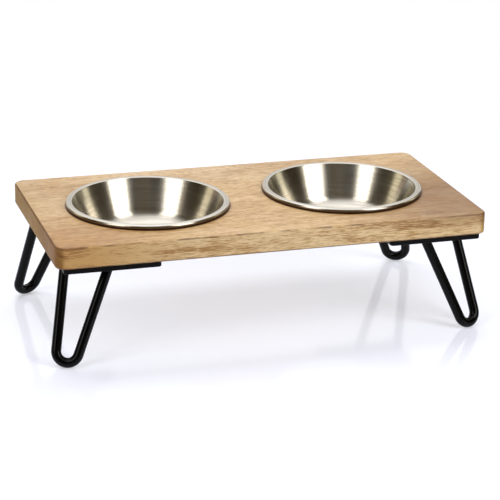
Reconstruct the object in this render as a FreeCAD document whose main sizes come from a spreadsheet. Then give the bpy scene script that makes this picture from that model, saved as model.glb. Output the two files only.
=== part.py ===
import FreeCAD, Part
import math
import os
import Sketcher

# A raised feeding stand for a cat: a wooden board on four hairpin legs, with two steel bowls that lift out.
# Millimetres, +Z up. The origin is on the floor under the middle of the board, whose long side runs along X.

# Driving sizes
SIZES = {
    "bowl_mouth_diameter": 139.2,
    "bowl_depth": 41.4,
    "bowl_draw": 17.25,
    "bowl_sheet": 0.7,
    "bowl_base_round": 18.0,
    "bowl_gap": 38.0,
    "mouth_round": 1.0,
    "rim_width": 5.4,
    "rim_height": 4.4,
    "rim_roll": 2.6,
    "roll_round": 2.0,
    "hole_clearance": 1.3,
    "board_thickness": 20.0,
    "board_end_margin": 31.0,
    "board_side_margin": 26.5,
    "board_corner_radius": 10.0,
    "board_edge_round": 2.0,
    "underside_height": 94.0,
    "plate_length": 87.0,
    "plate_side": 53.1,
    "plate_nose": 15.5,
    "plate_thickness": 4.5,
    "plate_corner_radius": 3.0,
    "plate_edge_round": 1.0,
    "plate_end_inset": 6.5,
    "plate_front_inset": 1.0,
    "rod_diameter": 9.0,
    "rod_bend_radius": 10.2,
    "rod_edge_margin": 1.0,
    "outer_rod_inset": 9.4,
    "inner_rod_inset": 46.3,
    "foot_end_inset": 2.9,
    "foot_front_inset": 8.5,
    "rear_rod_shift": 6.5,
    "weld_leg": 2.2,
    "weld_lip": 0.4,
    "screw_diameter": 4.0,
    "screw_length": 16.0,
    "screw_tip_length": 4.0,
    "screw_head_diameter": 7.5,
    "screw_slot_length": 4.2,
    "screw_slot_width": 1.0,
    "screw_slot_depth": 1.3,
    "screw_hole_clearance": 0.25,
    "pilot_clearance": 0.05,
    "pilot_spare_depth": 1.0,
    "corner_screw_inset": 9.0,
    "nose_screw_inset": 12.0,
    "nose_screw_front_inset": 6.5,
    "overrun": 6.0,
}

# Sizes and places that follow from the driving sizes
PLACES = {
    # the bowls, measured from the middle of each bowl and from the top of the board
    "mouth_radius": "=Sizes.bowl_mouth_diameter / 2",
    "rim_radius": "=mouth_radius + Sizes.rim_width",
    "lip_radius": "=rim_radius - Sizes.bowl_sheet",
    "neck_radius": "=mouth_radius + Sizes.bowl_sheet",
    "flange_underside": "=Sizes.rim_height - Sizes.bowl_sheet",
    "base_radius": "=neck_radius - Sizes.bowl_draw",
    "floor_radius": "=mouth_radius - Sizes.bowl_draw",
    "base_depth": "=Sizes.bowl_depth - Sizes.rim_height",
    "floor_depth": "=base_depth - Sizes.bowl_sheet",
    "base_outer_round": "=Sizes.bowl_base_round + Sizes.bowl_sheet",
    "neck_round": "=Sizes.mouth_round - Sizes.bowl_sheet",
    "roll_end_radius": "=rim_radius - Sizes.rim_roll",
    "roll_inner_round": "=Sizes.roll_round - Sizes.bowl_sheet",
    "hole_diameter": "=2 * (neck_radius + Sizes.hole_clearance)",
    # the board, which is sized around its bowls
    "bowl_x": "=rim_radius + Sizes.bowl_gap / 2",
    "half_length": "=bowl_x + rim_radius + Sizes.board_end_margin",
    "half_depth": "=rim_radius + Sizes.board_side_margin",
    "board_top": "=Sizes.underside_height + Sizes.board_thickness",
    # the front left leg, measured from the outer front corner of its plate
    "corner_x": "=half_length - Sizes.plate_end_inset",
    "corner_y": "=half_depth - Sizes.plate_front_inset",
    "plate_underside": "=Sizes.underside_height - Sizes.plate_thickness",
    "edge_slope": "=(Sizes.plate_side - Sizes.plate_nose) / Sizes.plate_length",
    "rod_radius": "=Sizes.rod_diameter / 2",
    "rod_edge_inset": "=rod_radius + Sizes.weld_leg + Sizes.rod_edge_margin",
    "rod_line_start": "=Sizes.plate_side - rod_edge_inset * sqrt(1 + edge_slope^2)",
    "outer_rod_y": "=rod_line_start - edge_slope * Sizes.outer_rod_inset",
    "inner_rod_y": "=rod_line_start - edge_slope * Sizes.inner_rod_inset",
    "spread_x": "=Sizes.inner_rod_inset - Sizes.outer_rod_inset",
    "spread_y": "=inner_rod_y - outer_rod_y",
    "rod_spread": "=sqrt(spread_x^2 + spread_y^2)",
    "foot_x": "=Sizes.foot_end_inset - Sizes.outer_rod_inset",
    "foot_y": "=Sizes.foot_front_inset - outer_rod_y",
    "foot_along": "=(foot_x * spread_x + foot_y * spread_y) / rod_spread",
    "foot_reach": "=(foot_x * spread_y - foot_y * spread_x) / rod_spread",
    "foot_drop": "=plate_underside - rod_radius",
    "leg_slant": "=sqrt(foot_reach^2 + foot_drop^2)",
    "bend_depth": "=leg_slant - Sizes.rod_bend_radius",
    # the screws of one plate
    "shank_radius": "=Sizes.screw_diameter / 2",
    "head_radius": "=Sizes.screw_head_diameter / 2",
    "head_height": "=head_radius - shank_radius",
    "slot_reach": "=Sizes.screw_slot_length / 2",
    "slot_half_width": "=Sizes.screw_slot_width / 2",
    "tip_start": "=Sizes.screw_length - Sizes.screw_tip_length",
    "screw_hole": "=Sizes.screw_diameter + 2 * Sizes.screw_hole_clearance",
    "countersink": "=head_radius - screw_hole / 2",
    "pilot_diameter": "=Sizes.screw_diameter + 2 * Sizes.pilot_clearance",
    "pilot_depth": "=Sizes.screw_length - Sizes.plate_thickness + Sizes.pilot_spare_depth",
    "corner_screw_x": "=Sizes.corner_screw_inset",
    "corner_screw_y": "=Sizes.corner_screw_inset",
    "nose_screw_x": "=Sizes.plate_length - Sizes.nose_screw_inset",
    "nose_screw_y": "=Sizes.nose_screw_front_inset",
    "middle_screw_x": "=(Sizes.outer_rod_inset + Sizes.inner_rod_inset) / 2",
    "middle_screw_y": "=(outer_rod_y + inner_rod_y) / 2",
    "corner_pilot_x": "=corner_x - corner_screw_x",
    "corner_pilot_y": "=corner_y - corner_screw_y",
    "nose_pilot_x": "=corner_x - nose_screw_x",
    "nose_pilot_y": "=corner_y - nose_screw_y",
    "middle_pilot_x": "=corner_x - middle_screw_x",
    "middle_pilot_y": "=corner_y - middle_screw_y",
}

SCREWS = ("corner", "nose", "middle")

doc = FreeCAD.newDocument("cat_bowl_stand")


def fill_sheet(name, rows):
    sheet = doc.addObject("Spreadsheet::Sheet", name)
    for row, (alias, content) in enumerate(rows.items(), start=1):
        sheet.set(f"A{row}", alias)
        sheet.set(f"B{row}", str(content))
        sheet.setAlias(f"B{row}", alias)
    return sheet


fill_sheet("Sizes", SIZES)
fill_sheet("Places", PLACES)
doc.recompute()


def value(cell):
    """The number in a cell such as "Sizes.rod_diameter", or in "-Places.bowl_x", or zero for no cell."""
    if cell is None:
        return 0.0
    sheet, alias = cell.lstrip("-").split(".")
    sign = -1 if cell.startswith("-") else 1
    return sign * float(doc.getObject(sheet).get(alias))


def move_to(thing, x=None, y=None, z=None):
    """Binds a sub-part's place to cells of the sheets."""
    for axis, cell in (("x", x), ("y", y), ("z", z)):
        if cell:
            thing.setExpression(f"Placement.Base.{axis}", cell)


def new_body(name):
    return doc.addObject("PartDesign::Body", name)


def sketch_on_plane(body, role, name):
    plane = next(feature for feature in body.Origin.OriginFeatures if feature.Role == role)
    sketch = body.newObject("Sketcher::SketchObject", name)
    sketch.AttachmentSupport = (plane, [""])
    sketch.MapMode = "FlatFace"
    return sketch


def dimension(sketch, kind, references, cell):
    index = sketch.addConstraint(Sketcher.Constraint(kind, *references, value(cell)))
    sketch.setExpression(f"Constraints[{index}]", cell)


def fix_point(sketch, line, end, x, y):
    """Holds a point of a sketch at two cells from the origin, or on an axis where there is no cell."""
    for kind, cell, axis in (("DistanceX", x, -2), ("DistanceY", y, -1)):
        if cell:
            dimension(sketch, kind, (-1, 1, line, end), cell)
        else:
            sketch.addConstraint(Sketcher.Constraint("PointOnObject", line, end, axis))


def draw_polygon(sketch, corners):
    points = [FreeCAD.Vector(value(x), value(y), 0) for x, y in corners]
    following = points[1:] + points[:1]
    lines = [sketch.addGeometry(Part.LineSegment(a, b)) for a, b in zip(points, following)]
    for line, after in zip(lines, lines[1:] + lines[:1]):
        sketch.addConstraint(Sketcher.Constraint("Coincident", line, 2, after, 1))
    for line, (x, y) in zip(lines, corners):
        fix_point(sketch, line, 1, x, y)


def draw_circle(sketch, x, y, diameter):
    centre = FreeCAD.Vector(value(x), value(y), 0)
    circle = sketch.addGeometry(Part.Circle(centre, FreeCAD.Vector(0, 0, 1), value(diameter) / 2))
    fix_point(sketch, circle, 3, x, y)
    dimension(sketch, "Diameter", (circle,), diameter)


def pad(body, sketch, length):
    feature = body.newObject("PartDesign::Pad", f"{sketch.Name}Pad")
    feature.Profile = sketch
    feature.setExpression("Length", length)
    doc.recompute()
    return feature


def pocket_up(body, sketch, length=None):
    """Cuts upwards from the body's base plane, right through where no length is given."""
    feature = body.newObject("PartDesign::Pocket", f"{sketch.Name}Pocket")
    feature.Profile = sketch
    feature.Reversed = True
    if length:
        feature.setExpression("Length", length)
    else:
        feature.Type = "ThroughAll"
    doc.recompute()
    return feature


def revolve(body, sketch):
    feature = body.newObject("PartDesign::Revolution", f"{sketch.Name}Revolution")
    feature.Profile = sketch
    feature.ReferenceAxis = (sketch, ["V_Axis"])
    doc.recompute()
    return feature


def round_edges(body, base, name, radius, wanted):
    feature = body.newObject("PartDesign::Fillet", name)
    edges = [f"Edge{index}" for index, edge in enumerate(base.Shape.Edges, start=1) if wanted(edge)]
    feature.Base = (base, edges)
    feature.setExpression("Radius", radius)
    doc.recompute()
    return feature


def is_upright(edge):
    return edge.BoundBox.ZLength > edge.BoundBox.XLength + edge.BoundBox.YLength


def is_level(edge):
    return not is_upright(edge)


def is_on_base(edge):
    return abs(edge.CenterOfMass.z) < FreeCAD.Base.Precision.approximation() and is_level(edge)


def is_ring_at(*corners):
    """True for the circular edges that the given corners of a revolved outline make."""
    spots = [Part.Vertex(value(radius), 0, value(height)) for radius, height in corners]
    touching = FreeCAD.Base.Precision.approximation()

    def wanted(edge):
        return edge.isClosed() and any(edge.distToShape(spot)[0] < touching for spot in spots)

    return wanted


def mirrored(source, label, normal):
    copy = doc.addObject("Part::Mirroring", label)
    copy.Label = label
    copy.Source = source
    copy.Normal = normal
    return copy


# The board: one thick plank with rounded corners and eased edges, two bowl holes and the screws' pilot holes
def make_board():
    body = new_body("board")
    outline = sketch_on_plane(body, "XY_Plane", "BoardOutline")
    half_length, half_depth = "Places.half_length", "Places.half_depth"
    corners = [
        ("-" + half_length, "-" + half_depth),
        (half_length, "-" + half_depth),
        (half_length, half_depth),
        ("-" + half_length, half_depth),
    ]
    draw_polygon(outline, corners)
    plank = pad(body, outline, "Sizes.board_thickness")
    plank = round_edges(body, plank, "BoardCorners", "Sizes.board_corner_radius", is_upright)
    round_edges(body, plank, "BoardEdges", "Sizes.board_edge_round", is_level)
    holes = sketch_on_plane(body, "XY_Plane", "BowlHoles")
    for side in ("-", ""):
        draw_circle(holes, side + "Places.bowl_x", None, "Places.hole_diameter")
    pocket_up(body, holes)
    pilots = sketch_on_plane(body, "XY_Plane", "PilotHoles")
    for end in ("-", ""):
        for side in ("-", ""):
            for screw in SCREWS:
                x = f"{end}Places.{screw}_pilot_x"
                y = f"{side}Places.{screw}_pilot_y"
                draw_circle(pilots, x, y, "Places.pilot_diameter")
    pocket_up(body, pilots, "Places.pilot_depth")
    move_to(body, z="Sizes.underside_height")
    return body


# A bowl: one pressed sheet, drawn in to a flat base, with a flange whose edge is rolled under and lies on the board
def make_bowl():
    body = new_body("bowl_left")
    section = sketch_on_plane(body, "XZ_Plane", "BowlSection")
    floor = ("Places.floor_radius", "-Places.floor_depth")
    mouth = ("Places.mouth_radius", "Sizes.rim_height")
    rim = ("Places.rim_radius", "Sizes.rim_height")
    roll = ("Places.rim_radius", None)
    roll_inside = ("Places.lip_radius", "Sizes.bowl_sheet")
    lip = ("Places.lip_radius", "Places.flange_underside")
    neck = ("Places.neck_radius", "Places.flange_underside")
    base = ("Places.base_radius", "-Places.base_depth")
    corners = [
        (None, "-Places.floor_depth"),
        floor,
        mouth,
        rim,
        roll,
        ("Places.roll_end_radius", None),
        ("Places.roll_end_radius", "Sizes.bowl_sheet"),
        roll_inside,
        lip,
        neck,
        base,
        (None, "-Places.base_depth"),
    ]
    draw_polygon(section, corners)
    bowl = revolve(body, section)
    bowl = round_edges(body, bowl, "BowlFloorRound", "Sizes.bowl_base_round", is_ring_at(floor))
    bowl = round_edges(body, bowl, "BowlBaseRound", "Places.base_outer_round", is_ring_at(base))
    bowl = round_edges(body, bowl, "MouthRound", "Sizes.mouth_round", is_ring_at(mouth))
    bowl = round_edges(body, bowl, "NeckRound", "Places.neck_round", is_ring_at(neck))
    bowl = round_edges(body, bowl, "RollRound", "Sizes.roll_round", is_ring_at(rim, roll))
    round_edges(body, bowl, "RollInnerRound", "Places.roll_inner_round", is_ring_at(lip, roll_inside))
    move_to(body, x="-Places.bowl_x", z="Places.board_top")
    return body


# A leg plate: flat steel with a long front side, a short outer side and a slanted edge along the rods
def make_plate():
    body = new_body("front_left_leg_plate")
    outline = sketch_on_plane(body, "XY_Plane", "PlateOutline")
    corners = [
        (None, None),
        ("Sizes.plate_length", None),
        ("Sizes.plate_length", "Sizes.plate_nose"),
        (None, "Sizes.plate_side"),
    ]
    draw_polygon(outline, corners)
    plate = pad(body, outline, "Sizes.plate_thickness")
    plate = round_edges(body, plate, "PlateCorners", "Sizes.plate_corner_radius", is_upright)
    round_edges(body, plate, "PlateEdges", "Sizes.plate_edge_round", is_on_base)
    holes = sketch_on_plane(body, "XY_Plane", "PlateHoles")
    for screw in SCREWS:
        draw_circle(holes, f"Places.{screw}_screw_x", f"Places.{screw}_screw_y", "Places.screw_hole")
    drilled = pocket_up(body, holes)
    sinks = body.newObject("PartDesign::Chamfer", "PlateCountersinks")
    edges = enumerate(drilled.Shape.Edges, start=1)
    sinks.Base = (drilled, [f"Edge{index}" for index, edge in edges if edge.isClosed() and is_on_base(edge)])
    sinks.setExpression("Size", "Places.countersink")
    move_to(body, "-Places.corner_x", "-Places.corner_y", "Places.plate_underside")
    return body


def leg_placement():
    """The plane of a hairpin: its X runs between the rod tops, and its -Z leans out to the foot."""
    top = FreeCAD.Vector(value("Sizes.outer_rod_inset"), value("Places.outer_rod_y"), 0)
    corner = FreeCAD.Vector(-value("Places.corner_x"), -value("Places.corner_y"), value("Places.plate_underside"))
    turn = math.degrees(math.atan2(value("Places.spread_y"), value("Places.spread_x")))
    lean = math.degrees(math.atan2(value("Places.foot_reach"), value("Places.foot_drop")))
    up = FreeCAD.Rotation(FreeCAD.Vector(0, 0, 1), turn)
    out = FreeCAD.Rotation(FreeCAD.Vector(1, 0, 0), -lean)
    return FreeCAD.Placement(corner + top, up * out)


# A hairpin: one round rod, bent once at the foot, with both ends cut level to meet the plate
def make_hairpin():
    body = new_body("HairpinRod")
    path = sketch_on_plane(body, "XZ_Plane", "HairpinPath")
    spread, along = value("Places.rod_spread"), value("Places.foot_along")
    depth, bend, above = value("Places.bend_depth"), value("Sizes.rod_bend_radius"), value("Sizes.overrun")
    centre = FreeCAD.Vector(along, -depth, 0)
    ring = Part.Circle(centre, FreeCAD.Vector(0, 0, 1), bend)
    start, finish = FreeCAD.Vector(along - bend, -depth, 0), FreeCAD.Vector(along + bend, -depth, 0)
    outer = path.addGeometry(Part.LineSegment(FreeCAD.Vector(0, above, 0), start))
    foot = path.addGeometry(Part.ArcOfCircle(ring, math.pi, 2 * math.pi))
    inner = path.addGeometry(Part.LineSegment(finish, FreeCAD.Vector(spread, above, 0)))
    inner_top = path.addGeometry(Part.Point(FreeCAD.Vector(spread, 0, 0)))
    path.addConstraint(Sketcher.Constraint("Tangent", outer, 2, foot, 1))
    path.addConstraint(Sketcher.Constraint("Tangent", foot, 2, inner, 1))
    path.addConstraint(Sketcher.Constraint("PointOnObject", -1, 1, outer))
    path.addConstraint(Sketcher.Constraint("PointOnObject", inner_top, 1, inner))
    fix_point(path, inner_top, 1, "Places.rod_spread", None)
    fix_point(path, foot, 3, "Places.foot_along", "-Places.bend_depth")
    dimension(path, "Radius", (foot,), "Sizes.rod_bend_radius")
    dimension(path, "DistanceY", (-1, 1, outer, 1), "Sizes.overrun")
    dimension(path, "DistanceY", (-1, 1, inner, 2), "Sizes.overrun")
    doc.recompute()
    section = body.newObject("Sketcher::SketchObject", "HairpinSection")
    section.AttachmentSupport = (path, ["Edge1"])
    section.MapMode = "NormalToEdge"
    draw_circle(section, None, None, "Sizes.rod_diameter")
    doc.recompute()
    rod = body.newObject("PartDesign::AdditivePipe", "HairpinPipe")
    rod.Profile = section
    rod.Spine = (path, ["Edge1", "Edge2", "Edge3"])
    body.Placement = leg_placement()
    trim = doc.addObject("Part::Box", "RodEndTrim")
    trim.setExpression("Length", "Sizes.plate_length")
    trim.setExpression("Width", "Sizes.plate_side")
    trim.setExpression("Height", "Sizes.rod_diameter + 2 * Sizes.overrun")
    move_to(trim, "-Places.corner_x", "-Places.corner_y", "Places.plate_underside")
    hairpin = doc.addObject("Part::Cut", "front_left_hairpin_rod")
    hairpin.Base = body
    hairpin.Tool = trim
    doc.recompute()
    return hairpin


def make_weld(name, top, along):
    """A fillet of weld round one rod end, from a wide ring on the plate to a narrow one down the rod."""
    upright_share = -along.z
    heading = FreeCAD.Rotation(FreeCAD.Vector(0, 0, 1), math.degrees(math.atan2(along.y, along.x)))
    rings = []
    for ring, size, drop in (("Toe", "Sizes.weld_leg", None), ("Cap", "Sizes.weld_lip", "Sizes.weld_leg")):
        ellipse = doc.addObject("Part::Ellipse", name + ring)
        ellipse.setExpression("MajorRadius", f"Places.rod_radius / {upright_share} + {size}")
        ellipse.setExpression("MinorRadius", f"Places.rod_radius + {size}")
        ellipse.Placement = FreeCAD.Placement(top + along * (value(drop) / upright_share), heading)
        rings.append(ellipse)
    bead = doc.addObject("Part::Loft", name + "Loft")
    bead.Sections = rings
    bead.Solid = True
    bead.Ruled = True
    return bead


# The weld beads: one round each end of a hairpin
def make_welds(hairpin):
    place = hairpin.Base.Placement
    outer, _, inner = doc.getObject("HairpinPath").Shape.Edges
    far = FreeCAD.Vector(value("Places.rod_spread"), 0, 0)
    tops = {"OuterWeld": (FreeCAD.Vector(0, 0, 0), outer), "InnerWeld": (far, inner)}
    beads = []
    for name, (top, edge) in tops.items():
        low, high = sorted((vertex.Point for vertex in edge.Vertexes), key=lambda point: point.z)
        along = place.Rotation.multVec(low - high).normalize()
        bead = doc.addObject("Part::Cut", name)
        bead.Base = make_weld(name, place.multVec(top), along)
        bead.Tool = hairpin
        beads.append(bead)
    welds = doc.addObject("Part::Compound", "front_left_weld_beads")
    welds.Links = beads
    return welds


# A wood screw: a countersunk head with a cross slot, flush with the plate, and a pointed shank up into the board
def make_screw(screw):
    name = screw.capitalize() + "Screw"
    body = new_body(name)
    section = sketch_on_plane(body, "XZ_Plane", name + "Section")
    corners = [
        (None, None),
        ("Places.head_radius", None),
        ("Places.shank_radius", "Places.head_height"),
        ("Places.shank_radius", "Places.tip_start"),
        (None, "Sizes.screw_length"),
    ]
    draw_polygon(section, corners)
    revolve(body, section)
    reach, width = "Places.slot_reach", "Places.slot_half_width"
    for slot, x, y in (("LongSlot", reach, width), ("CrossSlot", width, reach)):
        cross = sketch_on_plane(body, "XY_Plane", name + slot)
        draw_polygon(cross, [("-" + x, "-" + y), (x, "-" + y), (x, y), ("-" + x, y)])
        pocket_up(body, cross, "Sizes.screw_slot_depth")
    move_to(body, f"-Places.{screw}_pilot_x", f"-Places.{screw}_pilot_y", "Places.plate_underside")
    return body


def make_screws():
    screws = doc.addObject("Part::Compound", "front_left_plate_screws")
    screws.Links = [make_screw(screw) for screw in SCREWS]
    return screws


# The whole stand: the front left leg and the left bowl are built, and the others are their mirror images
ACROSS_LENGTH = FreeCAD.Vector(1, 0, 0)
ACROSS_DEPTH = FreeCAD.Vector(0, 1, 0)

# The rear rods are welded a little nearer the back edge than the front rods are to the front edge
WELDED = ("hairpin_rod", "weld_beads")

left_bowl = make_bowl()
nodes = [make_board(), left_bowl, mirrored(left_bowl, "bowl_right", ACROSS_LENGTH)]
rod = make_hairpin()
for piece in (make_plate(), rod, make_welds(rod), make_screws()):
    kind = piece.Label.removeprefix("front_left_")
    rear_left = mirrored(piece, f"rear_left_{kind}", ACROSS_DEPTH)
    if kind in WELDED:
        move_to(rear_left, y="Sizes.rear_rod_shift")
    front_right = mirrored(piece, f"front_right_{kind}", ACROSS_LENGTH)
    rear_right = mirrored(rear_left, f"rear_right_{kind}", ACROSS_LENGTH)
    nodes += [piece, front_right, rear_left, rear_right]
doc.recompute()

# Nothing is written unless every feature was made, every cut took something away and every solid is sound
failed = [thing.Label for thing in doc.Objects if {"Invalid", "Error"} & set(thing.State)]
for cut in doc.findObjects("PartDesign::Pocket"):
    if cut.Shape.Volume >= cut.BaseFeature.Shape.Volume:
        failed.append(cut.Label)
failed += [node.Label for node in nodes if node.Shape.isNull() or not node.Shape.isValid()]
if failed:
    raise RuntimeError("not built: " + ", ".join(failed))

os.makedirs("parts", exist_ok=True)
for node in nodes:
    node.Shape.exportStep(os.path.join("parts", f"{node.Label}.step"))
    print(node.Label, len(node.Shape.Solids), "solid(s)", round(node.Shape.Volume), "cubic mm")
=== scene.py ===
# %% [markdown]
# # A raised feeding stand for a cat
# An oiled wooden board stands on four black hairpin legs and carries two brushed steel bowls, which
# lift out of round holes. The solids arrive finished, at their real size, as a fixed frame. This
# lesson adds what the eye still misses: grain in the wood, the turned finish of the bowls, the lumpy
# skin of the welds, painted shade round and under the rims, and the light of a small photo studio.

# %% Load the solids as a fixed frame
import math

import bmesh
import bpy
from mathutils import Matrix, Vector


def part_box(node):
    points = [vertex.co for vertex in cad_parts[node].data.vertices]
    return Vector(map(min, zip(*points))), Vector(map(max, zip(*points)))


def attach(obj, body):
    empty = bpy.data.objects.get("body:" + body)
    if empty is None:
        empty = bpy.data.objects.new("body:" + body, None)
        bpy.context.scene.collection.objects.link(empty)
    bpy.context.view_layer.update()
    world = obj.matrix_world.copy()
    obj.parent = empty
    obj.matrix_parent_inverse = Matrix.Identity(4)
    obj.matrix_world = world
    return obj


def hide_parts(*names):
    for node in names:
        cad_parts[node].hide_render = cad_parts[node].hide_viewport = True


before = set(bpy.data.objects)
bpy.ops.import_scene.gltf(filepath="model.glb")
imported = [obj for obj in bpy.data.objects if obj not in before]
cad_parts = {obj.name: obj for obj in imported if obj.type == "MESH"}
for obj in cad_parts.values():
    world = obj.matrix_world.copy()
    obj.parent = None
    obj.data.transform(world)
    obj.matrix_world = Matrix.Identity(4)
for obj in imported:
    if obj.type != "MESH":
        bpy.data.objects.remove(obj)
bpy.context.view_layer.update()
MM = 0.001

# %% [markdown]
# ## Laying out shader nodes
# A finish is a small graph of nodes. They could be placed by hand in the shader editor; in a script
# a few helpers keep each graph as readable as a sum. `feed` links a socket or writes a value on it,
# `add_node` makes a node and feeds it, `calculate` is one Math node, and `split` and `join` take a
# vector apart and put one together.


# %% Helpers for node graphs
def feed(tree, socket, value):
    if isinstance(value, bpy.types.NodeSocket):
        tree.links.new(value, socket)
    else:
        socket.default_value = value


def add_node(tree, kind, inputs=None, **settings):
    made = tree.nodes.new(kind)
    for name, value in settings.items():
        setattr(made, name, value)
    for name, value in (inputs or {}).items():
        feed(tree, made.inputs[name], value)
    return made


def calculate(tree, operation, *values):
    return add_node(tree, "ShaderNodeMath", dict(enumerate(values)), operation=operation).outputs[0]


def calculate_vector(tree, operation, *values, output="Vector"):
    made = add_node(tree, "ShaderNodeVectorMath", dict(enumerate(values)), operation=operation)
    return made.outputs[output]


def split(tree, vector):
    return add_node(tree, "ShaderNodeSeparateXYZ", {"Vector": vector}).outputs


def join(tree, **parts):
    return add_node(tree, "ShaderNodeCombineXYZ", parts).outputs["Vector"]


print("kinds and sockets of nodes are named as in Blender", bpy.app.version_string)

# %% [markdown]
# Patterns are sized in real lengths. A Mapping node of the Texture kind divides a place by a cell
# size, so a cell of 30 x 1 x 1 mm gives streaks 30 mm long along X. `ease` turns a range of values
# into a soft 0 to 1 mask, and `mix` blends two colours by such a mask. The colour sockets of a Mix
# node share their names with its number sockets, so they are picked by their place in the list.

# %% Helpers for patterns
MIX_SHARE, MIX_FIRST, MIX_SECOND, MIX_RESULT = 0, 6, 7, 2


def in_cells(tree, place, cell, centre=(0, 0, 0)):
    inputs = {"Vector": place, "Location": centre, "Scale": cell}
    return add_node(tree, "ShaderNodeMapping", inputs, vector_type="TEXTURE").outputs["Vector"]


def noise(tree, cells, detail=2.0, roughness=0.5, output="Fac"):
    inputs = {"Vector": cells, "Scale": 1.0, "Detail": detail, "Roughness": roughness}
    return add_node(tree, "ShaderNodeTexNoise", inputs).outputs[output]


def ease(tree, value, low, high, to_low=0.0, to_high=1.0):
    inputs = {"Value": value, "From Min": low, "From Max": high, "To Min": to_low, "To Max": to_high}
    made = add_node(tree, "ShaderNodeMapRange", inputs, interpolation_type="SMOOTHSTEP")
    return made.outputs["Result"]


def mix(tree, share, first, second, mode="MIX"):
    inputs = {MIX_SHARE: share, MIX_FIRST: first, MIX_SECOND: second}
    made = add_node(tree, "ShaderNodeMix", inputs, data_type="RGBA", blend_type=mode)
    return made.outputs[MIX_RESULT]


print("a Mix node takes its two colours at places", MIX_FIRST, "and", MIX_SECOND)

# %% [markdown]
# Each finish starts from Blender's Principled shader. Colours are written as they look on a screen,
# because that is how a maker picks them, and `seen` turns them into the linear values that a shader
# takes. `raise_skin` makes a relief from a height that is only painted, for what is too fine to model.


# %% Helpers for finishes
def seen(red, green, blue):
    """A colour given as it looks on a screen, 0 to 255, as the linear colour that a shader takes."""
    shares = [channel / 255 for channel in (red, green, blue)]
    # the curve of an sRGB screen: a straight line for the darkest shares, and a power above them
    return *(s / 12.92 if s <= 0.04045 else ((s + 0.055) / 1.055) ** 2.4 for s in shares), 1.0


def new_material(name):
    material = bpy.data.materials.new(name)
    material.use_nodes = True
    return material, material.node_tree, material.node_tree.nodes["Principled BSDF"]


def raise_skin(tree, shader, height, strength, depth):
    inputs = {"Height": height, "Strength": strength, "Distance": depth}
    feed(tree, shader.inputs["Normal"], add_node(tree, "ShaderNodeBump", inputs).outputs["Normal"])


print("mid grey on a screen is", round(seen(128, 128, 128)[0], 3), "in linear light")

# %% [markdown]
# ## Effects that several finishes share
# Some effects come back on wood, paint and steel. Their nodes could be copied into each material, but
# then a change would have to be made three times. A node group is built once and placed in a material
# with that material's own sizes. It hands out only masks and values, so each material keeps its own
# shader.

# %% Shared groups: how they are made and placed
VECTOR = "NodeSocketVector"
NUMBER = "NodeSocketFloat"


def new_group(name, inputs, outputs):
    group = bpy.data.node_groups.new(name, "ShaderNodeTree")
    for socket, kind in inputs.items():
        group.interface.new_socket(socket, in_out="INPUT", socket_type=kind)
    for socket, kind in outputs.items():
        group.interface.new_socket(socket, in_out="OUTPUT", socket_type=kind)
    return group, group.nodes.new("NodeGroupInput").outputs, group.nodes.new("NodeGroupOutput").inputs


def place_group(tree, group, output, **inputs):
    made = add_node(tree, "ShaderNodeGroup", node_tree=group)
    for name, value in inputs.items():
        feed(tree, made.inputs[name], value)
    return made.outputs[output]


print("sockets of a group are of the kinds", VECTOR, "and", NUMBER)

# %% [markdown]
# Three effects are shared. Hands leave faint dull patches on every surface, which a slow noise gives.
# Paint dries with a fine pebbled skin, a noise about as fine as its droplets. Round and under each
# bowl's rim the wood and the steel are painted darker as shade, so a ring is measured from the axis of each
# bowl.

# %% Shared groups: smudges, pebbled skin and rings round the bowls
SMUDGE_RANGE = 0.3, 0.7
BOWL_LOW, BOWL_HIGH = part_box("bowl_right")
BOWL_RADIUS = (BOWL_HIGH.x - BOWL_LOW.x) / 2
BOWL_MIDDLE = BOWL_HIGH.x - BOWL_RADIUS


def make_smudges():
    sockets = {"Place": VECTOR, "Cell": NUMBER, "Low": NUMBER, "High": NUMBER}
    group, given, gives = new_group("smudges", sockets, {"Roughness": NUMBER})
    cells = calculate_vector(group, "DIVIDE", given["Place"], given["Cell"])
    smudge = noise(group, cells, detail=4.0, roughness=0.6)
    feed(group, gives["Roughness"], ease(group, smudge, *SMUDGE_RANGE, given["Low"], given["High"]))
    return group


def make_pebbles():
    group, given, gives = new_group("pebbled_skin", {"Place": VECTOR, "Cell": NUMBER}, {"Height": NUMBER})
    cells = calculate_vector(group, "DIVIDE", given["Place"], given["Cell"])
    feed(group, gives["Height"], noise(group, cells, detail=2.0, roughness=0.4))
    return group


def make_ring():
    """Measures how far a place is from a bowl's axis; the two bowls mirror each other in X."""
    sockets = {"Place": VECTOR, "From": NUMBER, "To": NUMBER}
    group, given, gives = new_group("ring_round_bowls", sockets, {"Mask": NUMBER})
    parts = split(group, given["Place"])
    along = calculate(group, "SUBTRACT", calculate(group, "ABSOLUTE", parts["X"]), BOWL_MIDDLE)
    radius = calculate_vector(group, "LENGTH", join(group, X=along, Y=parts["Y"]), output="Value")
    feed(group, gives["Mask"], ease(group, radius, given["From"], given["To"]))
    return group


SMUDGES = make_smudges()
PEBBLES = make_pebbles()
RING = make_ring()
print("groups:", [group.name for group in bpy.data.node_groups])

# %% [markdown]
# ## Wood
# The board is one plank of an open-grained, honey-coloured hardwood with a satin oil. A picture of
# wood wrapped round it would break at the edges, so the grain is a solid: every point is measured
# from the heart of the tree, a line along X well below the board. Rings, fibres and pores then run
# through the plank, show as streaks on the top and the long edges, and as arcs and dots on the ends.

# %% Wood: the grain as a solid
BOARD_LOW, BOARD_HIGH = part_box("board")
HEART_OF_TREE = Vector((0, 40 * MM, -70 * MM))
WANDER_CELL = Vector((240, 60, 60)) * MM
WANDER = Vector((0, 6, 8)) * MM
RING_LENGTH = 110 * MM
RING_WIDTH = 3.0 * MM
MIDDLE_GREY = 0.5, 0.5, 0.5


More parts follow.
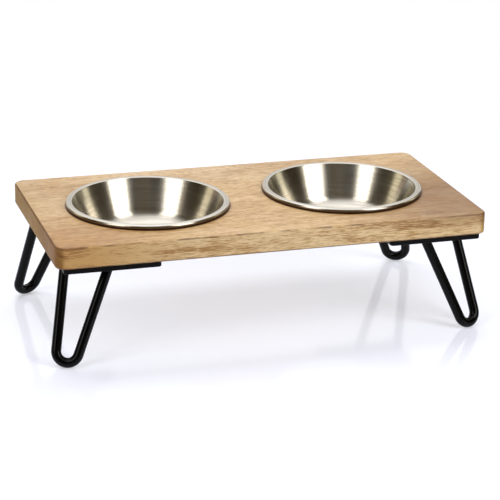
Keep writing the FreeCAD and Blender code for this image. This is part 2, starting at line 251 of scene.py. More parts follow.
def wood_grain(tree, place):
    """Returns the place along wandering fibres, and the tone of the year rings there."""
    drift = noise(tree, in_cells(tree, place, WANDER_CELL), output="Color")
    drift = calculate_vector(tree, "SUBTRACT", drift, MIDDLE_GREY)
    fibre_place = calculate_vector(tree, "MULTIPLY_ADD", drift, WANDER, place)
    from_heart = calculate_vector(tree, "SUBTRACT", fibre_place, HEART_OF_TREE)
    across = calculate_vector(tree, "MULTIPLY", from_heart, (0, 1, 1))
    radius = calculate_vector(tree, "LENGTH", across, output="Value")
    along = calculate(tree, "DIVIDE", split(tree, fibre_place)["X"], RING_LENGTH)
    outwards = calculate(tree, "DIVIDE", radius, RING_WIDTH)
    return fibre_place, noise(tree, join(tree, X=along, Y=outwards), detail=3.0, roughness=0.55)


print("heart of the tree below the board (mm):", round((BOARD_LOW.z - HEART_OF_TREE.z) / MM))

# %% [markdown]
# Three layers set the tone: slow patches as wide as a hand, the rings, and fine fibres. A colour ramp
# turns the tone into wood colours, which keeps all the shades in one place. The long edges cut the
# fibres at another angle than the top does, and there they stand out more.

# %% Wood: tone
FIBRE_CELL = Vector((11, 3.4, 0.75)) * MM
PATCH_CELL = Vector((70, 28, 14)) * MM
RING_SHARE, FIBRE_SHARE, PATCH_SHARE = 0.2, 0.52, 0.28
SIDE_FACING = 0.5, 0.8
TOP_CONTRAST = 0.78
SIDE_CONTRAST = 2.4
SIDE_PALER = 0.05
TONE_DARK, TONE_MIDDLE, TONE_PALE = 0.4, 0.5, 0.62
WOOD_DARK = seen(164, 121, 63)
WOOD_MIDDLE = seen(203, 165, 112)
WOOD_PALE = seen(230, 200, 150)


def wood_tone(tree, place, fibre_place, rings):
    """Returns the tone, and the fibres by themselves, which also make the relief."""
    fibres = noise(tree, in_cells(tree, fibre_place, FIBRE_CELL), detail=5.0, roughness=0.68)
    patches = noise(tree, in_cells(tree, place, PATCH_CELL))
    tone = calculate(tree, "MULTIPLY", fibres, FIBRE_SHARE)
    tone = calculate(tree, "MULTIPLY_ADD", rings, RING_SHARE, tone)
    return calculate(tree, "MULTIPLY_ADD", patches, PATCH_SHARE, tone), fibres


def side_contrast(tree, tone, facing):
    """Widens the swing of the tone on the front and back edges, and narrows it on the top."""
    sides = ease(tree, calculate(tree, "ABSOLUTE", facing["Y"]), *SIDE_FACING)
    swing = calculate(tree, "SUBTRACT", tone, TONE_MIDDLE)
    contrast = calculate(tree, "MULTIPLY_ADD", sides, SIDE_CONTRAST - TOP_CONTRAST, TOP_CONTRAST)
    level = calculate(tree, "MULTIPLY_ADD", sides, SIDE_PALER, TONE_MIDDLE)
    return calculate(tree, "MULTIPLY_ADD", swing, contrast, level)


def wood_ramp(tree, tone):
    ramp = add_node(tree, "ShaderNodeValToRGB", {"Fac": tone})
    dark, pale = ramp.color_ramp.elements
    dark.position = TONE_DARK
    dark.color = WOOD_DARK
    pale.position = TONE_PALE
    pale.color = WOOD_PALE
    ramp.color_ramp.elements.new(TONE_MIDDLE).color = WOOD_MIDDLE
    return ramp.outputs["Color"]


print("a fibre is about", round(FIBRE_CELL.x / MM, 1), "mm long, a patch", round(PATCH_CELL.x / MM, 1), "mm")

# %% [markdown]
# Pores are the open vessels of the tree, and show as short dark dashes. Each could be modelled as a
# groove, but there are thousands of them. The cells of a stretched Voronoi pattern give such dashes,
# and a slow noise gathers them in drifts.

# %% Wood: pores
PORE_CELL = Vector((8, 3.2, 0.75)) * MM
PORE_DRIFT_CELL = Vector((50, 16, 8)) * MM
PORE_EDGE, PORE_CORE = 0.34, 0.16
PORE_DRIFT = 0.38, 0.58


def wood_pores(tree, fibre_place):
    cells = in_cells(tree, fibre_place, PORE_CELL)
    distance = add_node(tree, "ShaderNodeTexVoronoi", {"Vector": cells, "Scale": 1.0}).outputs["Distance"]
    dashes = ease(tree, distance, PORE_EDGE, PORE_CORE)
    drifts = ease(tree, noise(tree, in_cells(tree, fibre_place, PORE_DRIFT_CELL)), *PORE_DRIFT)
    return calculate(tree, "MULTIPLY", dashes, drifts)


print("a pore is up to", round(PORE_CELL.x / MM, 1), "mm long")

# %% [markdown]
# No plank has one colour all over. This one is darker near both ends, and along its rear edge it is
# paler and bluer, which is a painted sheen. This could be painted on a picture of the board; here each
# flush of colour is a soft oval in space, with a tint that multiplies the wood's own colour, so that
# it runs over the edges without a seam.

# %% Wood: flushes of colour, and a painted sheen
# the middle of each flush, how far it reaches, and its tint
FLUSHES_AND_SHEEN = (
    (Vector((200, -42, 114)) * MM, Vector((165, 135, 18)) * MM, (0.44, 0.335, 0.2, 1)),
    (Vector((-195, -85, 100)) * MM, Vector((140, 80, 60)) * MM, (0.68, 0.53, 0.31, 1)),
    (Vector((-205, 40, 114)) * MM, Vector((120, 120, 30)) * MM, (0.86, 0.84, 0.82, 1)),
    # painted sheen: the rear of the top paler and bluer, as where it mirrors the bright back
    (Vector((0, 90, 114)) * MM, Vector((280, 70, 40)) * MM, (1.0, 1.03, 1.16, 1)),
)
FLUSH_EDGE, FLUSH_CORE = 1.0, 0.2


def wood_flushes_and_sheen(tree, place, colour):
    for middle, size, tint in FLUSHES_AND_SHEEN:
        cells = in_cells(tree, place, size, middle)
        away = calculate_vector(tree, "LENGTH", cells, output="Value")
        flushed = mix(tree, 1.0, colour, tint, "MULTIPLY")
        colour = mix(tree, ease(tree, away, FLUSH_EDGE, FLUSH_CORE), colour, flushed)
    return colour


print("flushes of other colour in the wood:", len(FLUSHES_AND_SHEEN))

# %% [markdown]
# On the ends the oil sinks in between the cut fibres, so there the wood is darker, browner and duller.
# A router rounds the edges. Along the upper edge they are darker in broken runs, and all along the
# upper edge of the ends; along the lower edge the runs are denser, as painted shade. Both are masks,
# worked out from the way the surface faces, because such a mask follows the rounded edges by itself
# wherever they run.

# %% Wood: ends, dark edges, and painted shade on the lower edge
END_FACING = 0.2, 0.6
ARRIS_CELL = Vector((14, 9, 9)) * MM
ARRIS_RISES = 0.15, 0.45
ARRIS_FALLS = 0.97, 0.8
ARRIS_RUNS = 0.32, 0.72
ARRIS_LOWER_SHADE = 0.12
LEVEL_FACING = 0.1


def end_grain(tree, facing):
    """1 where the surface looks along the board, on its ends, and 0 elsewhere."""
    return ease(tree, calculate(tree, "ABSOLUTE", facing["X"]), *END_FACING)


def dark_arris_and_lower_shade(tree, facing, place):
    """1 on the rounded edges: in broken runs, denser on the lower edge as painted shade, and all along the
    upper edge of the ends.
    """
    slope = calculate(tree, "ABSOLUTE", facing["Z"])
    rounded = calculate(tree, "MULTIPLY", ease(tree, slope, *ARRIS_RISES), ease(tree, slope, *ARRIS_FALLS))
    # painted shade: the lower rounded edge gets denser dark runs
    lower = ease(tree, facing["Z"], LEVEL_FACING, -LEVEL_FACING, 0.0, ARRIS_LOWER_SHADE)
    wavy = calculate(tree, "ADD", noise(tree, in_cells(tree, place, ARRIS_CELL)), lower)
    upper = ease(tree, facing["Z"], -LEVEL_FACING, LEVEL_FACING)
    upper_ends = calculate(tree, "MULTIPLY", end_grain(tree, facing), upper)
    runs = calculate(tree, "MAXIMUM", ease(tree, wavy, *ARRIS_RUNS), upper_ends)
    return calculate(tree, "MULTIPLY", rounded, runs)


print("scorched runs are about", round(ARRIS_CELL.x / MM, 1), "mm long")

# %% [markdown]
# Round the foot of each rolled rim the board is darkened in a thin ring: painted contact shade, where
# the rim shades the wood. It could be a flat ring laid on the wood, but that would have an edge. As a
# mask between two radii it has no thickness and fades out on both sides.

# %% Wood: painted shade round the rims
RIM_SHADE_REACH = 1.5 * MM
RIM_SHADE_INSIDE = 4.0 * MM
RIM_SHADE_DEPTH = 2.0 * MM


def painted_rim_shade(tree, place):
    """Painted contact shade: 1 on the top of the board round the foot of a rolled rim, fading out on both
    sides of it.
    """
    outside = {"From": BOWL_RADIUS + RIM_SHADE_REACH, "To": BOWL_RADIUS}
    inside = {"From": BOWL_RADIUS - RIM_SHADE_INSIDE, "To": BOWL_RADIUS - RIM_SHADE_REACH}
    masks = [place_group(tree, RING, "Mask", Place=place, **edge) for edge in (outside, inside)]
    upper = ease(tree, split(tree, place)["Z"], BOARD_HIGH.z - RIM_SHADE_DEPTH, BOARD_HIGH.z)
    return calculate(tree, "MULTIPLY", calculate(tree, "MULTIPLY", *masks), upper)


print("damp rings lie at a radius of", round(BOWL_RADIUS / MM, 1), "mm")

# %% [markdown]
# Now the layers are put together: a colour, a gloss that smudges vary, and a shallow relief of fibres
# and open pores. The board keeps the mesh that it came with and only changes its finish, as every
# carried-over solid does.

# %% Wood: the whole finish
# painted contact shade on the board round the foot of each rim
RIM_SHADE_COLOUR = seen(74, 44, 20)
PORE_COLOUR = seen(142, 98, 44)
PORE_STRENGTH = 0.62
END_TINT = seen(202, 184, 92)
END_MATT = 0.12
ARRIS_COLOUR = seen(98, 62, 32)
ARRIS_STRENGTH = 0.8
WOOD_SMUDGE = {"Cell": 30 * MM, "Low": 0.42, "High": 0.55}
FIBRE_RELIEF = 0.4
WOOD_RELIEF = {"strength": 0.35, "depth": 0.2 * MM}


def wood_colour(tree, place, facing, tone, pores):
    colour = wood_flushes_and_sheen(tree, place, wood_ramp(tree, side_contrast(tree, tone, facing)))
    colour = mix(tree, calculate(tree, "MULTIPLY", pores, PORE_STRENGTH), colour, PORE_COLOUR)
    oily = mix(tree, 1.0, colour, END_TINT, "MULTIPLY")
    colour = mix(tree, end_grain(tree, facing), colour, oily)
    # dark runs on the edges, with painted shade on the lower edge
    arris = calculate(tree, "MULTIPLY", dark_arris_and_lower_shade(tree, facing, place), ARRIS_STRENGTH)
    colour = mix(tree, arris, colour, ARRIS_COLOUR)
    # painted contact shade round the foot of each rim
    return mix(tree, painted_rim_shade(tree, place), colour, RIM_SHADE_COLOUR)


def make_wood():
    material, tree, shader = new_material("wood_oiled")
    texture = add_node(tree, "ShaderNodeTexCoord")
    place = texture.outputs["Object"]
    facing = split(tree, texture.outputs["Normal"])
    fibre_place, rings = wood_grain(tree, place)
    tone, fibres = wood_tone(tree, place, fibre_place, rings)
    pores = wood_pores(tree, fibre_place)
    feed(tree, shader.inputs["Base Color"], wood_colour(tree, place, facing, tone, pores))
    smudged = place_group(tree, SMUDGES, "Roughness", Place=place, **WOOD_SMUDGE)
    dulled = calculate(tree, "MULTIPLY_ADD", end_grain(tree, facing), END_MATT, smudged)
    feed(tree, shader.inputs["Roughness"], dulled)
    height = calculate(tree, "SUBTRACT", calculate(tree, "MULTIPLY", fibres, FIBRE_RELIEF), pores)
    raise_skin(tree, shader, height, **WOOD_RELIEF)
    return material


def dress(node, material):
    """Gives a carried-over solid a better finish; its mesh stays as it came."""
    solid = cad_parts[node]
    solid.data.materials.clear()
    solid.data.materials.append(material)


dress("board", make_wood())
print("wood on the board,", [round(side / MM, 1) for side in BOARD_HIGH - BOARD_LOW], "mm")

# %% [markdown]
# ## Black coat
# The legs are coated with powder paint and baked: nearly black, with a faint pebbled skin that breaks up
# the highlights. A plain black would look like a hole in the picture, so gloss and skin do the work.
# One function makes the coat four times over: dull on the flat plates, shiny on the bent rods, lumpy
# over the weld beads, and for the screws a duller black of their own.

# %% Black coat on the legs
CORNERS = [f"{end}_{side}" for end in ("front", "rear") for side in ("left", "right")]
COAT_SMUDGE = 18 * MM
COAT_DEPTH = 0.1 * MM


def make_coat(name, colour, gloss, roughness, pebble, relief):
    material, tree, shader = new_material(name)
    shader.inputs["Base Color"].default_value = colour
    shader.inputs["Specular IOR Level"].default_value = gloss
    place = add_node(tree, "ShaderNodeTexCoord").outputs["Object"]
    low, high = roughness
    smudged = place_group(tree, SMUDGES, "Roughness", Place=place, Cell=COAT_SMUDGE, Low=low, High=high)
    feed(tree, shader.inputs["Roughness"], smudged)
    height = place_group(tree, PEBBLES, "Height", Place=place, Cell=pebble)
    raise_skin(tree, shader, height, relief, COAT_DEPTH)
    return material


FINISHES = {
    "leg_plate": make_coat(
        "plate_black", seen(14, 12, 12), gloss=0.06, roughness=(0.3, 0.42), pebble=0.9 * MM, relief=0.15
    ),
    "hairpin_rod": make_coat(
        "rod_black", seen(6, 5, 5), gloss=0.12, roughness=(0.1, 0.16), pebble=0.9 * MM, relief=0.12
    ),
    "weld_beads": make_coat(
        "weld_black", seen(9, 8, 8), gloss=0.22, roughness=(0.12, 0.2), pebble=1.7 * MM, relief=0.9
    ),
    "plate_screws": make_coat(
        "screw_black", seen(30, 29, 30), gloss=0.2, roughness=(0.36, 0.5), pebble=0.5 * MM, relief=0.2
    ),
}
for corner in CORNERS:
    for kind, finish in FINISHES.items():
        dress(f"{corner}_{kind}", finish)
print("black coat on", len(CORNERS), "legs:", sorted(FINISHES))

# %% [markdown]
# ## Brushed steel
# Each bowl is pressed from thin sheet and then brushed on a lathe, so fine scratches run round it.
# They are far too fine to model as grooves. A noise that is long round the bowl and short along the
# sheet looks the same, and a wide and a fine set lie over each other.

# %% Brushed steel: scratches
SCRATCH_WIDE = 2.6 * MM
SCRATCH_FINE = 0.35 * MM
SCRATCH_TURN = 60 * MM
SCRATCH_SHARE = 0.5


def scratches(tree, place, along, width):
    swing = split(tree, calculate_vector(tree, "DIVIDE", place, (SCRATCH_TURN,) * 3))
    cells = join(tree, X=swing["X"], Y=swing["Y"], Z=calculate(tree, "DIVIDE", along, width))
    return noise(tree, cells, detail=4.0, roughness=0.72)


def both_scratches(tree, place, along):
    fine = scratches(tree, place, along, SCRATCH_FINE)
    wide = scratches(tree, place, along, SCRATCH_WIDE)
    fine = calculate(tree, "MULTIPLY", fine, 1 - SCRATCH_SHARE)
    return calculate(tree, "MULTIPLY_ADD", wide, SCRATCH_SHARE, fine)


print("scratches are", round(SCRATCH_FINE / MM, 2), "to", round(SCRATCH_WIDE / MM, 2), "mm wide")

# %% [markdown]
# Low on the outside of the rim the steel is painted dark brown: painted shade, where the rolled rim
# faces down towards the shaded wood. It is only colour, so it isn't a piece of its own but a mask on
# the steel, which holds near the outside of the rim and fades out a little way up.

# %% Brushed steel: painted shade under the rim
UNDER_RIM_SHADE_TOP = 3.8 * MM
UNDER_RIM_SHADE_FULL = 2.2 * MM
RIM_OUTSIDE = 1.2 * MM


def painted_under_rim_shade(tree, place):
    """1 low on the outside of the rolled rim, where a brown line of painted shade lies."""
    outside = {"From": BOWL_RADIUS - RIM_OUTSIDE, "To": BOWL_RADIUS - RIM_OUTSIDE / 2}
    outside = place_group(tree, RING, "Mask", Place=place, **outside)
    height = split(tree, place)["Z"]
    low = ease(tree, height, BOARD_HIGH.z + UNDER_RIM_SHADE_TOP, BOARD_HIGH.z + UNDER_RIM_SHADE_FULL)
    return calculate(tree, "MULTIPLY", outside, low)


print("the brown line reaches", round(UNDER_RIM_SHADE_TOP / MM, 1), "mm above the board")

# %% [markdown]
# The scratches blur a reflection up and down the wall but not along it, which is why such bowls show
# bright and dark bands. A plain rough metal would blur it all round. The shader has anisotropy for
# this, along a tangent that is taken from a UV map whose u counts turns round the bowl and whose v
# runs along the sheet.

# %% Brushed steel: the finish
SCRATCH_RANGE = 0.3, 0.7
SCRATCH_MATT = 0.03
SCRATCH_RELIEF = {"strength": 0.05, "depth": 0.05 * MM}
STEEL_DARK = seen(172, 164, 148)
STEEL_PALE = seen(204, 198, 185)
STEEL_SMUDGE = {"Cell": 22 * MM, "Low": 0.2, "High": 0.225}
BRUSHING = 0.8
QUARTER_TURN = 0.25
# painted shade low on the outside of the rolled rim
UNDER_RIM_SHADE_COLOUR = seen(78, 50, 28)
UNDER_RIM_SHADE_STRENGTH = 0.8


def make_steel():
    material, tree, shader = new_material("steel_brushed")
    shader.inputs["Metallic"].default_value = 1.0
    shader.inputs["Anisotropic"].default_value = BRUSHING
    shader.inputs["Anisotropic Rotation"].default_value = QUARTER_TURN
    tangent = add_node(tree, "ShaderNodeTangent", direction_type="UV_MAP", uv_map="lathe")
    feed(tree, shader.inputs["Tangent"], tangent.outputs["Tangent"])
    texture = add_node(tree, "ShaderNodeTexCoord")
    place = texture.outputs["Object"]
    along = split(tree, texture.outputs["UV"])["Y"]
    both = both_scratches(tree, place, along)
    tint = ease(tree, both, *SCRATCH_RANGE)
    colour = mix(tree, tint, STEEL_DARK, STEEL_PALE)
    # painted shade low on the outside of the rolled rim
    under_rim_shade = calculate(tree, "MULTIPLY", painted_under_rim_shade(tree, place), UNDER_RIM_SHADE_STRENGTH)
    feed(tree, shader.inputs["Base Color"], mix(tree, under_rim_shade, colour, UNDER_RIM_SHADE_COLOUR))
    smudged = place_group(tree, SMUDGES, "Roughness", Place=place, **STEEL_SMUDGE)
    feed(tree, shader.inputs["Roughness"], calculate(tree, "MULTIPLY_ADD", tint, SCRATCH_MATT, smudged))
    raise_skin(tree, shader, both, **SCRATCH_RELIEF)
    return material


steel_brushed = make_steel()
print("steel nodes:", len(steel_brushed.node_tree.nodes))

# %% [markdown]
# ## Bowls
# A bowl is the same all round, so it is drawn once as a section and spun. The carried-over solids
# would do for the shape, but their loose triangles hold no turns that a brushed finish could follow.
# Bends in the sheet are corners of the section that are beveled to arcs. A bevel takes its reach along
# the two sides of a corner, so that is worked out from the radius.

# %% Bowls: rounding a corner of the section
ARC_SEGMENTS = 10


def round_corner(bm, corner, radius):
    """Bevels one corner of a flat outline to an arc of that radius."""
    arms = [edge.other_vert(corner).co - corner.co for edge in corner.link_edges]
    reach = radius / math.tan(arms[0].angle(arms[1]) / 2)
    bmesh.ops.bevel(
        bm, geom=[corner], offset=reach, offset_type="OFFSET", segments=ARC_SEGMENTS,
        profile=0.5, affect="VERTICES", material=-1,
    )


print("an arc of the section has", ARC_SEGMENTS, "segments")

# %% [markdown]
# The section is a flat outline with twelve corners, inside and outside the sheet, from floor to mouth
# to the rolled rim. Eight of them are rounded. Where the sheet bends, its outer radius is larger than
# its inner one by the thickness of the sheet.

# %% Bowls: the section
SHEET = 0.7 * MM
RIM_WIDTH = 5.4 * MM
RIM_HEIGHT = 4.4 * MM
RIM_ROLL = 2.6 * MM
DRAW = 17.25 * MM
BASE_ROUND = 18.0 * MM
MOUTH_ROUND = 1.0 * MM
ROLL_ROUND = 2.0 * MM
ROUNDS = {
    "floor": BASE_ROUND,
    "base": BASE_ROUND + SHEET,
    "mouth": MOUTH_ROUND,
    "neck": MOUTH_ROUND - SHEET,
    "rim": ROLL_ROUND,
    "roll": ROLL_ROUND,
    "lip": ROLL_ROUND - SHEET,
    "roll_inside": ROLL_ROUND - SHEET,
}


def bowl_section(low, high):
    bm = bmesh.new()
    rim = (high.x - low.x) / 2
    mouth = rim - RIM_WIDTH
    foot = high.z - RIM_HEIGHT
    roll_end = rim - RIM_ROLL
    corners = {
        "floor_middle": (0, low.z + SHEET),
        "floor": (mouth - DRAW, low.z + SHEET),
        "mouth": (mouth, high.z),
        "rim": (rim, high.z),
        "roll": (rim, foot),
        "roll_end": (roll_end, foot),
        "roll_end_inside": (roll_end, foot + SHEET),
        "roll_inside": (rim - SHEET, foot + SHEET),
        "lip": (rim - SHEET, high.z - SHEET),
        "neck": (mouth + SHEET, high.z - SHEET),
        "base": (mouth + SHEET - DRAW, low.z),
        "base_middle": (0, low.z),
    }
    verts = {name: bm.verts.new((radius, 0, height)) for name, (radius, height) in corners.items()}
    bm.faces.new(verts.values())
    for name, radius in ROUNDS.items():
        round_corner(bm, verts[name], radius)
    return bm


print("the sheet is", SHEET / MM, "mm thick, with", len(ROUNDS), "rounded corners in its section")

# %% [markdown]
# The outline is turned once round the bowl's axis. Spin makes a closed skin, but it also leaves the
# edges of the outline that lie on the axis, and doubled points there, which are cleaned away. A Screw
# modifier could make the same turn, but a mesh that is plain at once can be unwrapped next.

# %% Bowls: spin the section
BOWL_STEPS = 192
MERGE = 0.001 * MM


def spin_outline(bm, steps):
    """Turns an outline in the XZ plane once round the Z axis into a closed skin."""
    bmesh.ops.delete(bm, geom=list(bm.faces), context="FACES_ONLY")
    outline = [edge for edge in bm.edges if max(vert.co.x for vert in edge.verts) > MERGE]
    bmesh.ops.spin(
        bm, geom=outline, cent=(0, 0, 0), axis=(0, 0, 1), dvec=(0, 0, 0), angle=math.tau,
        steps=steps, use_merge=True, use_duplicate=False,
    )
    bmesh.ops.delete(bm, geom=[edge for edge in bm.edges if not edge.link_faces], context="EDGES")
    bmesh.ops.remove_doubles(bm, verts=bm.verts, dist=MERGE)
    bmesh.ops.recalc_face_normals(bm, faces=bm.faces)


print("a bowl is turned in", BOWL_STEPS, "steps")

# %% [markdown]
# The brushing follows a UV map. An unwrap along seams would cut and bend the turns, so every corner of
# a face gets its place directly: its turn round the axis, and its way along the sheet. The turn is
# counted from the middle of the face, so that it never jumps back within one face.


# %% Bowls: unwrap along the brushing
def unwrap_lathe(bm):
    """Gives each corner of a face its turn round the axis, and its way along the sheet."""
    layer = bm.loops.layers.uv.new("lathe")
    for face in bm.faces:
        middle = face.calc_center_median()
        facing = math.atan2(middle.y, middle.x)
        for loop in face.loops:
            spot = loop.vert.co
            swing = math.atan2(spot.y, spot.x) - facing if spot.xy.length > MERGE else 0
            swing = (swing + math.pi) % math.tau - math.pi
            loop[layer].uv = ((facing + swing) / math.tau, spot.xy.length + spot.z)


print("a face spans", round(1 / BOWL_STEPS, 4), "of a turn in the map")

# %% [markdown]
# The two bowls are alike, so one loop makes both, each in the box of its own solid. A bowl stands in for
# that solid and rides on the body that lifts it. Its curves are shaded smooth, and only corners sharper
# than a set angle, such as the end of the rolled sheet, stay hard.

# %% Bowls: finish the pieces
SHARP = math.radians(40)


def make_object(bm, name, material):
    mesh = bpy.data.meshes.new(name)
    bm.to_mesh(mesh)
    bm.free()
    mesh.materials.append(material)
    made = bpy.data.objects.new(name, mesh)
    bpy.context.scene.collection.objects.link(made)
    return made


def finish_piece(bm, name, material, body, slot, *nodes):
    piece = make_object(bm, name, material)
    piece.data.shade_smooth()
    piece.data.set_sharp_from_angle(angle=SHARP)
    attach(piece, body)
    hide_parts(*nodes)
    print(name, "has", len(piece.data.polygons), "faces and rides on", body)


for side in ("left", "right"):
    low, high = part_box(f"bowl_{side}")
    bowl = bowl_section(low, high)
    spin_outline(bowl, BOWL_STEPS)
    unwrap_lathe(bowl)
    bmesh.ops.translate(bowl, verts=bowl.verts, vec=((low.x + high.x) / 2, 0, 0))
    finish_piece(bowl, f"bowl_{side}_turned", steel_brushed, f"{side}_bowl", "bowl_steel", f"bowl_{side}")

# %% [markdown]
# ## Studio
# The stand is photographed on a white, slightly glossy table that runs out into a white background.
# A wall behind it could do that, but it would shade the table; here the table itself fades out with
# distance, and the white world shows instead. The table keeps the soft shadow and a faint mirror
# image of the legs. Seen from below it is clear, so that the underside can be looked at too.

# %% Studio: the white table
FLOOR_SIZE = 3.0
FLOOR_FADE = 0.42, 0.8
FLOOR_COLOUR = 0.75, 0.775, 0.915, 1
FLOOR_ROUGHNESS = 0.1
FLOOR_IOR = 1.42
FLOOR_GLOW = 0.37
WHITE = 1, 1, 1, 1


def shows_white(tree):
    """1 for rays that look at the background: from the camera, or by way of gloss or glass."""
    rays = add_node(tree, "ShaderNodeLightPath").outputs
    looks = calculate(tree, "MAXIMUM", rays["Is Camera Ray"], rays["Is Glossy Ray"])
    return calculate(tree, "MAXIMUM", looks, rays["Is Transmission Ray"])


def make_floor():
    material, tree, shader = new_material("floor_white")
    shader.inputs["Base Color"].default_value = FLOOR_COLOUR
    shader.inputs["Roughness"].default_value = FLOOR_ROUGHNESS
    shader.inputs["IOR"].default_value = FLOOR_IOR
    shader.inputs["Emission Color"].default_value = WHITE
    glow = calculate(tree, "MULTIPLY", shows_white(tree), FLOOR_GLOW)
    feed(tree, shader.inputs["Emission Strength"], glow)
    below = add_node(tree, "ShaderNodeNewGeometry").outputs["Backfacing"]
    place = add_node(tree, "ShaderNodeTexCoord").outputs["Object"]
    away = ease(tree, calculate_vector(tree, "LENGTH", place, output="Value"), *FLOOR_FADE)
    gone = calculate(tree, "MAXIMUM", below, away)
    clear = add_node(tree, "ShaderNodeBsdfTransparent").outputs["BSDF"]
    both = add_node(tree, "ShaderNodeMixShader", {0: gone, 1: shader.outputs["BSDF"], 2: clear})
    feed(tree, tree.nodes["Material Output"].inputs["Surface"], both.outputs["Shader"])
    return material


table = bmesh.new()
bmesh.ops.create_grid(table, x_segments=1, y_segments=1, size=FLOOR_SIZE / 2)
floor = make_object(table, "floor", make_floor())
print("floor:", [round(side, 2) for side in floor.dimensions], "m")

# %% [markdown]
# The bowls mirror the whole room, so what stands round the table matters as much as the lamps. A
# picture of a room on the world would do it; a half dome that only reflections see is easier to set,
# in bearings round the stand. Its walls are dim, with a little light on the wall in front
# and beside the soft boxes, and a window and a lit wall on each side.

# %% Studio: the walls that the bowls mirror
ROOM_EDGE = math.radians(1)
ROOM_DIM = 0.03, 0.021, 0.005, 1
# bearing and half width in degrees, and the light there; 0 is straight in front, 90 on the right
ROOM_LIGHTS = {
    "front_wall": (-9.0, 13.0, (0.085, 0.066, 0.03, 1)),
    "beside_right_box": (52.5, 3.5, (0.42, 0.37, 0.29, 1)),
    "beside_left_box": (-78.0, 4.5, (0.42, 0.37, 0.29, 1)),
    "right_wall": (116.0, 9.0, (0.34, 0.31, 0.22, 1)),
    "right_window": (100.5, 6.5, (1.25, 1.2, 0.95, 1)),
    "left_wall": (-141.0, 7.0, (0.42, 0.34, 0.27, 1)),
    "left_window": (-126.0, 7.5, (1.3, 1.2, 0.9, 1)),
}


def room_walls(tree, bearing):
    colour = ROOM_DIM
    for azimuth, half, light in ROOM_LIGHTS.values():
        away = calculate(tree, "SUBTRACT", bearing, math.radians(azimuth))
        away = calculate(tree, "ABSOLUTE", away)
        edges = math.radians(half) + ROOM_EDGE, math.radians(half) - ROOM_EDGE
        colour = mix(tree, ease(tree, away, *edges), colour, light)
    return colour


print("lights on the walls:", list(ROOM_LIGHTS))

# %% [markdown]
# Behind the stand, the bowls mirror the white end of the table and a bright ceiling that leans back.
# Lamps there would light the wood as well. On the dome they are only seen in reflections, so the shine
# of the steel can be set by itself.

# %% Studio: the table end and the ceiling
ROOM_RADIUS = 2.6
TABLE_END = 0.92, 0.92, 0.92, 1
TABLE_END_RISE = math.radians(19), math.radians(42)
TABLE_END_RIGHT = math.radians(126), math.radians(134)
TABLE_END_LEFT = math.radians(-146), math.radians(-154)
CEILING = 2.1, 2.15, 2.3, 1
CEILING_RISE = math.radians(43), math.radians(80)
CEILING_LEAN = math.radians(35)
CEILING_REACH = math.radians(86), math.radians(14)


def room_table_end(tree, bearing, height, colour):
    """Puts the white end of the table behind the stand, with the ceiling above it."""
    ends = [ease(tree, bearing, *end) for end in (TABLE_END_RIGHT, TABLE_END_LEFT)]
    rise = [ROOM_RADIUS * math.sin(angle) for angle in TABLE_END_RISE]
    light = mix(tree, ease(tree, height, *rise), TABLE_END, CEILING)
    return mix(tree, calculate(tree, "MAXIMUM", *ends), colour, light)


def room_ceiling(tree, place, height, colour):
    """Brightens the dome with height, and towards a point that leans back from its top."""
    brightest = (0, math.sin(CEILING_LEAN), math.cos(CEILING_LEAN))
    nearness = calculate_vector(tree, "DOT_PRODUCT", place, brightest, output="Value")
    near = [ROOM_RADIUS * math.cos(angle) for angle in CEILING_REACH]
    rise = [ROOM_RADIUS * math.sin(angle) for angle in CEILING_RISE]
    glows = calculate(tree, "MINIMUM", ease(tree, height, *rise), ease(tree, nearness, *near))
    return mix(tree, glows, colour, CEILING)


print("the ceiling leans back by", round(math.degrees(CEILING_LEAN)), "degrees")

# %% [markdown]
# The dome itself is the upper half of a sphere, cut off at the table. Its shader only glows, and it is
# hidden from every kind of ray but reflections, so that it neither shows behind the stand nor shades
# the table.

# %% Studio: the dome
ROOM_SEGMENTS, ROOM_RINGS = 64, 32


def make_room():
    material, tree, shader = new_material("room_dim")
    tree.nodes.remove(shader)
    place = add_node(tree, "ShaderNodeTexCoord").outputs["Object"]
    parts = split(tree, place)
    bearing = calculate(tree, "ARCTAN2", parts["X"], calculate(tree, "MULTIPLY", parts["Y"], -1.0))
    colour = room_table_end(tree, bearing, parts["Z"], room_walls(tree, bearing))
    colour = room_ceiling(tree, place, parts["Z"], colour)
    glow = add_node(tree, "ShaderNodeEmission", {"Color": colour, "Strength": 1.0})
    feed(tree, tree.nodes["Material Output"].inputs["Surface"], glow.outputs["Emission"])
    return material


room = bmesh.new()
bmesh.ops.create_uvsphere(room, u_segments=ROOM_SEGMENTS, v_segments=ROOM_RINGS, radius=ROOM_RADIUS)
lower_half = {"plane_co": (0, 0, 0), "plane_no": (0, 0, 1), "clear_inner": True}
bmesh.ops.bisect_plane(room, geom=room.verts[:] + room.edges[:] + room.faces[:], **lower_half)
dim_room = make_object(room, "dim_room", make_room())
for kind in ("camera", "diffuse", "shadow", "transmission", "volume_scatter"):
    setattr(dim_room, f"visible_{kind}", False)
print("room:", [round(side, 2) for side in dim_room.dimensions], "m")

# %% [markdown]
# Two upright soft boxes stand in front, one on each side of the camera, and make the bright bands in
# the bowls. One overhead, a little behind, puts the shadow under the board, and a weak one behind
# opens it up. Those two are hidden from reflections, because the dome already shows a ceiling there.
# The brightness is that of the box's surface, so a larger box gives more light.

# %% Studio: world and soft boxes
AMBIENT = 0.12
SOFT_BOX_DISTANCE = 1.7
# bearing and rise in degrees, width and height in metres, brightness
SOFT_BOXES = {
    "soft_box_right": (36, 32, 0.78, 1.3, 5.1),
    "soft_box_left": (-61.5, 32, 0.72, 1.3, 3.35),
    "soft_box_top": (-168, 72, 1.3, 0.8, 3.45),
    "soft_box_back": (-170, 36, 2.6, 1.0, 0.85),
}
UNMIRRORED = "soft_box_top", "soft_box_back"


def towards(azimuth, elevation):
    """The direction from the stand to something at that bearing; azimuth 0 is straight in front."""
    level = math.cos(elevation)
    return Vector((math.sin(azimuth) * level, -math.cos(azimuth) * level, math.sin(elevation)))


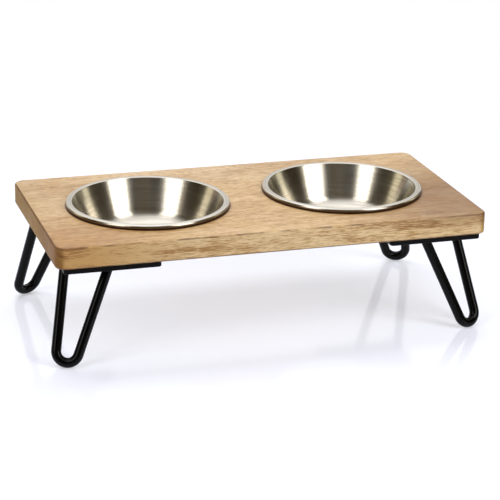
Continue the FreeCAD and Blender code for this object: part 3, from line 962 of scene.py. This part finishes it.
def soft_box(name, azimuth, elevation, width, height, level):
    lamp = bpy.data.lights.new(name, "AREA")
    lamp.shape = "RECTANGLE"
    lamp.size = width
    lamp.size_y = height
    lamp.energy = level * math.pi * width * height
    box = bpy.data.objects.new(name, lamp)
    box.location = towards(math.radians(azimuth), math.radians(elevation)) * SOFT_BOX_DISTANCE
    box.rotation_euler = box.location.to_track_quat("Z", "Y").to_euler()
    box.visible_glossy = name not in UNMIRRORED
    bpy.context.scene.collection.objects.link(box)


world = bpy.data.worlds.new("studio")
world.use_nodes = True
bpy.context.scene.world = world
backdrop = world.node_tree.nodes["Background"]
backdrop.inputs["Color"].default_value = WHITE
level = ease(world.node_tree, shows_white(world.node_tree), 0.0, 1.0, AMBIENT, 1.0)
feed(world.node_tree, backdrop.inputs["Strength"], level)
for name, setting in SOFT_BOXES.items():
    soft_box(name, *setting)
print("lamps:", [lamp.name for lamp in bpy.data.lights])

# %% [markdown]
# ## Camera
# The photograph was taken from a little above, left of the middle, with a long lens. The numbers come
# from fitting a camera to the board's edges and the bowl rims.

# %% Camera
CAMERA_AZIMUTH = math.radians(-17.333)
CAMERA_ELEVATION = math.radians(19.447)
CAMERA_ROLL = math.radians(0.968)
CAMERA_DISTANCE = 1827.3 * MM
CAMERA_TARGET = Vector((0, 0, 60)) * MM
CAMERA_SLIDE = Vector((4.472, 1.145)) * MM
SENSOR = 36.0
FOCAL_PIXELS = 1947.4
PHOTO_PIXELS = 500

back = towards(CAMERA_AZIMUTH, CAMERA_ELEVATION)
turn = back.to_track_quat("Z", "Y").to_matrix() @ Matrix.Rotation(CAMERA_ROLL, 3, "Z")
camera = bpy.data.objects.new("camera", bpy.data.cameras.new("camera"))
camera.data.sensor_width = SENSOR
camera.data.lens = SENSOR * FOCAL_PIXELS / PHOTO_PIXELS
camera.location = CAMERA_TARGET + back * CAMERA_DISTANCE + turn @ CAMERA_SLIDE.to_3d()
camera.rotation_euler = turn.to_euler()
bpy.context.scene.collection.objects.link(camera)
bpy.context.scene.camera = camera
bpy.context.scene.view_settings.view_transform = "Standard"
print("lens:", round(camera.data.lens, 1), "mm at", [round(part, 3) for part in camera.location])
